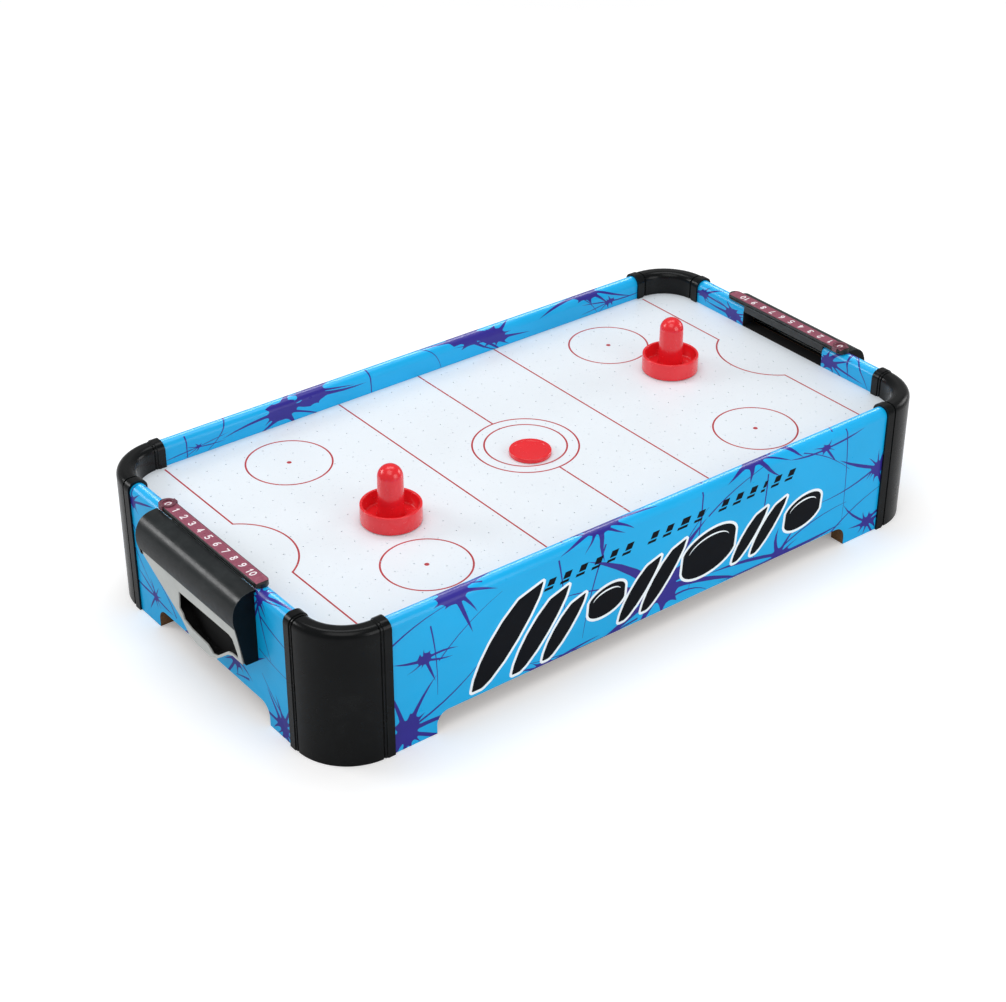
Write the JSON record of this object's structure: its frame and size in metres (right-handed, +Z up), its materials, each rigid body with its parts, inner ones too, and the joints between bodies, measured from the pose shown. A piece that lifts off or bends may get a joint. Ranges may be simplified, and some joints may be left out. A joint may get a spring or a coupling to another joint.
{
  "type": "tabletop air hockey table",
  "caption": "Battery-powered tabletop air hockey table with a perforated playing board, blower, goal catch trays, sliding score counters, strikers and a puck.",
  "frame": {"origin": "centre of the footprint, on the surface the table stands on", "axes": "+X along the long side from the left goal to the right goal, +Y across the table away from the printed long side that faces -Y, +Z up"},
  "size_m": [0.7352, 0.378, 0.165],
  "materials": {
    "mdf_core": "raw sawn edge",
    "printed_wrap": "printed glossy film",
    "post_plastic": "semi-gloss moulded",
    "batten_wood": "planed",
    "screw_steel": "zinc plated",
    "field_laminate": "satin laminate",
    "hardboard": "smooth hardboard",
    "blower_plastic": "moulded",
    "motor_steel": "plated can",
    "underside_plastic": "moulded",
    "cell_jacket": "printed jacket",
    "contact_metal": "plated spring steel",
    "wire_jacket": "insulated",
    "rocker_plastic": "moulded",
    "hood_plastic": "semi-gloss moulded",
    "tray_plastic": "moulded",
    "score_print": "printed strip",
    "slider_plastic": "moulded",
    "red_plastic": "high gloss moulded",
    "felt": "pressed felt"
  },
  "bodies": {
    "table": {"front_panel": "mdf_core", "rear_panel": "mdf_core", "left_end_panel": "mdf_core", "right_end_panel": "mdf_core", "front_wrap": "printed_wrap", "rear_wrap": "printed_wrap", "left_end_wrap": "printed_wrap", "right_end_wrap": "printed_wrap", "corner_post_front_left": "post_plastic", "corner_post_front_right": "post_plastic", "corner_post_rear_left": "post_plastic", "corner_post_rear_right": "post_plastic", "corner_braces": "batten_wood", "corner_brace_screws": "screw_steel", "playfield_board": "field_laminate", "playfield_battens": "batten_wood", "centre_supports": "batten_wood", "bottom_board": "hardboard", "base_battens": "batten_wood", "base_screws": "screw_steel", "blower_casing": "blower_plastic", "blower_casing_lid": "blower_plastic", "fan_motor": "motor_steel", "blower_screws": "screw_steel", "fan_inlet_grille": "underside_plastic", "battery_well": "underside_plastic", "battery_well_screws": "screw_steel", "battery_cells": "cell_jacket", "battery_contacts": "contact_metal", "fan_wiring": "wire_jacket", "switch_body": "underside_plastic", "left_goal_hood": "hood_plastic", "right_goal_hood": "hood_plastic", "left_goal_tray": "tray_plastic", "right_goal_tray": "tray_plastic", "goal_screws": "screw_steel", "left_score_track": "hood_plastic", "right_score_track": "hood_plastic", "left_score_strip": "score_print", "right_score_strip": "score_print"},
    "impeller_rotor": {"impeller": "blower_plastic", "motor_shaft": "motor_steel"},
    "battery_cover": {"battery_cover": "underside_plastic"},
    "switch_rocker": {"switch_rocker": "rocker_plastic"},
    "left_score_slider": {"left_score_slider": "slider_plastic"},
    "right_score_slider": {"right_score_slider": "slider_plastic"},
    "left_striker": {"left_striker": "red_plastic", "left_striker_felt": "felt"},
    "right_striker": {"right_striker": "red_plastic", "right_striker_felt": "felt"},
    "puck": {"puck": "red_plastic"}
  },
  "joints": [
    {"name": "impeller_spin", "type": "hinge", "parent": "table", "child": "impeller_rotor", "pos_m": [-0.02, 0, 0.045], "axis": [0, 0, 1], "continuous": true},
    {"name": "battery_cover_slide", "type": "slide", "parent": "table", "child": "battery_cover", "axis": [-1, 0, 0], "range_m": [0, 0.118]},
    {"name": "switch_rock", "type": "hinge", "parent": "table", "child": "switch_rocker", "pos_m": [0.236, 0.1808, 0.062], "axis": [1, 0, 0], "range_deg": [-20, 0]},
    {"name": "left_score_slide", "type": "slide", "parent": "table", "child": "left_score_slider", "axis": [0, -1, 0], "range_m": [0, 0.1355]},
    {"name": "right_score_slide", "type": "slide", "parent": "table", "child": "right_score_slider", "axis": [0, 1, 0], "range_m": [0, 0.1355]},
    {"name": "left_striker_slide", "type": "slide", "parent": "table", "child": "left_striker", "axis": [0, 1, 0], "range_m": [-0.1115, 0.1725]},
    {"name": "right_striker_slide", "type": "slide", "parent": "table", "child": "right_striker", "axis": [0, 1, 0], "range_m": [-0.1735, 0.1105]},
    {"name": "puck_glide", "type": "slide", "parent": "table", "child": "puck", "axis": [1, 0, 0], "range_m": [-0.119, 0.164]}
  ]
}
